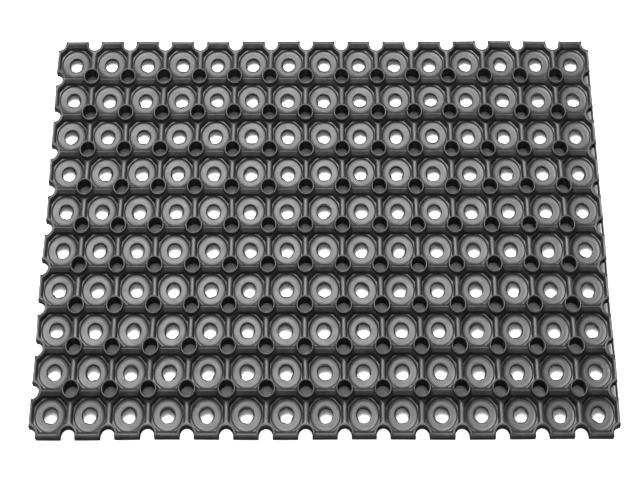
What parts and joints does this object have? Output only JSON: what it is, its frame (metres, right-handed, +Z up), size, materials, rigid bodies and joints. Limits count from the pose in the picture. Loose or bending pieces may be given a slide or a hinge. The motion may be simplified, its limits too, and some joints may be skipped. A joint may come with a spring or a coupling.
{
  "type": "door mat",
  "caption": "Black rubber scraper mat: a flat grid of octagonal pockets with round drain holes, rimmed corner holes and ring feet, flexing between its columns of cells.",
  "frame": {"origin": "on the ground under the middle of the mat, which is the centre of its bounding box's bottom", "axes": "+X along the mat's long side, +Y across its width towards the far edge, +Z up out of the tread"},
  "size_m": [0.6, 0.48, 0.023],
  "materials": {
    "black_rubber": "moulded black rubber, satin, slightly grainy"
  },
  "bodies": {
    "column_01": {"cell_column_01": "black_rubber"},
    "column_02": {"cell_column_02": "black_rubber"},
    "column_03": {"cell_column_03": "black_rubber"},
    "column_04": {"cell_column_04": "black_rubber"},
    "column_05": {"cell_column_05": "black_rubber"},
    "column_06": {"cell_column_06": "black_rubber"},
    "column_07": {"cell_column_07": "black_rubber"},
    "column_08": {"cell_column_08": "black_rubber"},
    "column_09": {"cell_column_09": "black_rubber"},
    "column_10": {"cell_column_10": "black_rubber"},
    "column_11": {"cell_column_11": "black_rubber"},
    "column_12": {"cell_column_12": "black_rubber"},
    "column_13": {"cell_column_13": "black_rubber"},
    "column_14": {"cell_column_14": "black_rubber"},
    "column_15": {"cell_column_15": "black_rubber"}
  },
  "joints": [
    {"name": "flex_01_02", "type": "hinge", "parent": "column_02", "child": "column_01", "pos_m": [-0.26, 0, 0.023], "axis": [0, 1, 0], "range_deg": [-8, 20], "stiffness_Nm_per_rad": 2.5},
    {"name": "flex_02_03", "type": "hinge", "parent": "column_03", "child": "column_02", "pos_m": [-0.22, 0, 0.023], "axis": [0, 1, 0], "range_deg": [-8, 20], "stiffness_Nm_per_rad": 2.5},
    {"name": "flex_03_04", "type": "hinge", "parent": "column_04", "child": "column_03", "pos_m": [-0.18, 0, 0.023], "axis": [0, 1, 0], "range_deg": [-8, 20], "stiffness_Nm_per_rad": 2.5},
    {"name": "flex_04_05", "type": "hinge", "parent": "column_05", "child": "column_04", "pos_m": [-0.14, 0, 0.023], "axis": [0, 1, 0], "range_deg": [-8, 20], "stiffness_Nm_per_rad": 2.5},
    {"name": "flex_05_06", "type": "hinge", "parent": "column_06", "child": "column_05", "pos_m": [-0.1, 0, 0.023], "axis": [0, 1, 0], "range_deg": [-8, 20], "stiffness_Nm_per_rad": 2.5},
    {"name": "flex_06_07", "type": "hinge", "parent": "column_07", "child": "column_06", "pos_m": [-0.06, 0, 0.023], "axis": [0, 1, 0], "range_deg": [-8, 20], "stiffness_Nm_per_rad": 2.5},
    {"name": "flex_07_08", "type": "hinge", "parent": "column_08", "child": "column_07", "pos_m": [-0.02, 0, 0.023], "axis": [0, 1, 0], "range_deg": [-8, 20], "stiffness_Nm_per_rad": 2.5},
    {"name": "flex_08_09", "type": "hinge", "parent": "column_08", "child": "column_09", "pos_m": [0.02, 0, 0.023], "axis": [0, -1, 0], "range_deg": [-8, 20], "stiffness_Nm_per_rad": 2.5},
    {"name": "flex_09_10", "type": "hinge", "parent": "column_09", "child": "column_10", "pos_m": [0.06, 0, 0.023], "axis": [0, -1, 0], "range_deg": [-8, 20], "stiffness_Nm_per_rad": 2.5},
    {"name": "flex_10_11", "type": "hinge", "parent": "column_10", "child": "column_11", "pos_m": [0.1, 0, 0.023], "axis": [0, -1, 0], "range_deg": [-8, 20], "stiffness_Nm_per_rad": 2.5},
    {"name": "flex_11_12", "type": "hinge", "parent": "column_11", "child": "column_12", "pos_m": [0.14, 0, 0.023], "axis": [0, -1, 0], "range_deg": [-8, 20], "stiffness_Nm_per_rad": 2.5},
    {"name": "flex_12_13", "type": "hinge", "parent": "column_12", "child": "column_13", "pos_m": [0.18, 0, 0.023], "axis": [0, -1, 0], "range_deg": [-8, 20], "stiffness_Nm_per_rad": 2.5},
    {"name": "flex_13_14", "type": "hinge", "parent": "column_13", "child": "column_14", "pos_m": [0.22, 0, 0.023], "axis": [0, -1, 0], "range_deg": [-8, 20], "stiffness_Nm_per_rad": 2.5},
    {"name": "flex_14_15", "type": "hinge", "parent": "column_14", "child": "column_15", "pos_m": [0.26, 0, 0.023], "axis": [0, -1, 0], "range_deg": [-8, 20], "stiffness_Nm_per_rad": 2.5}
  ]
}
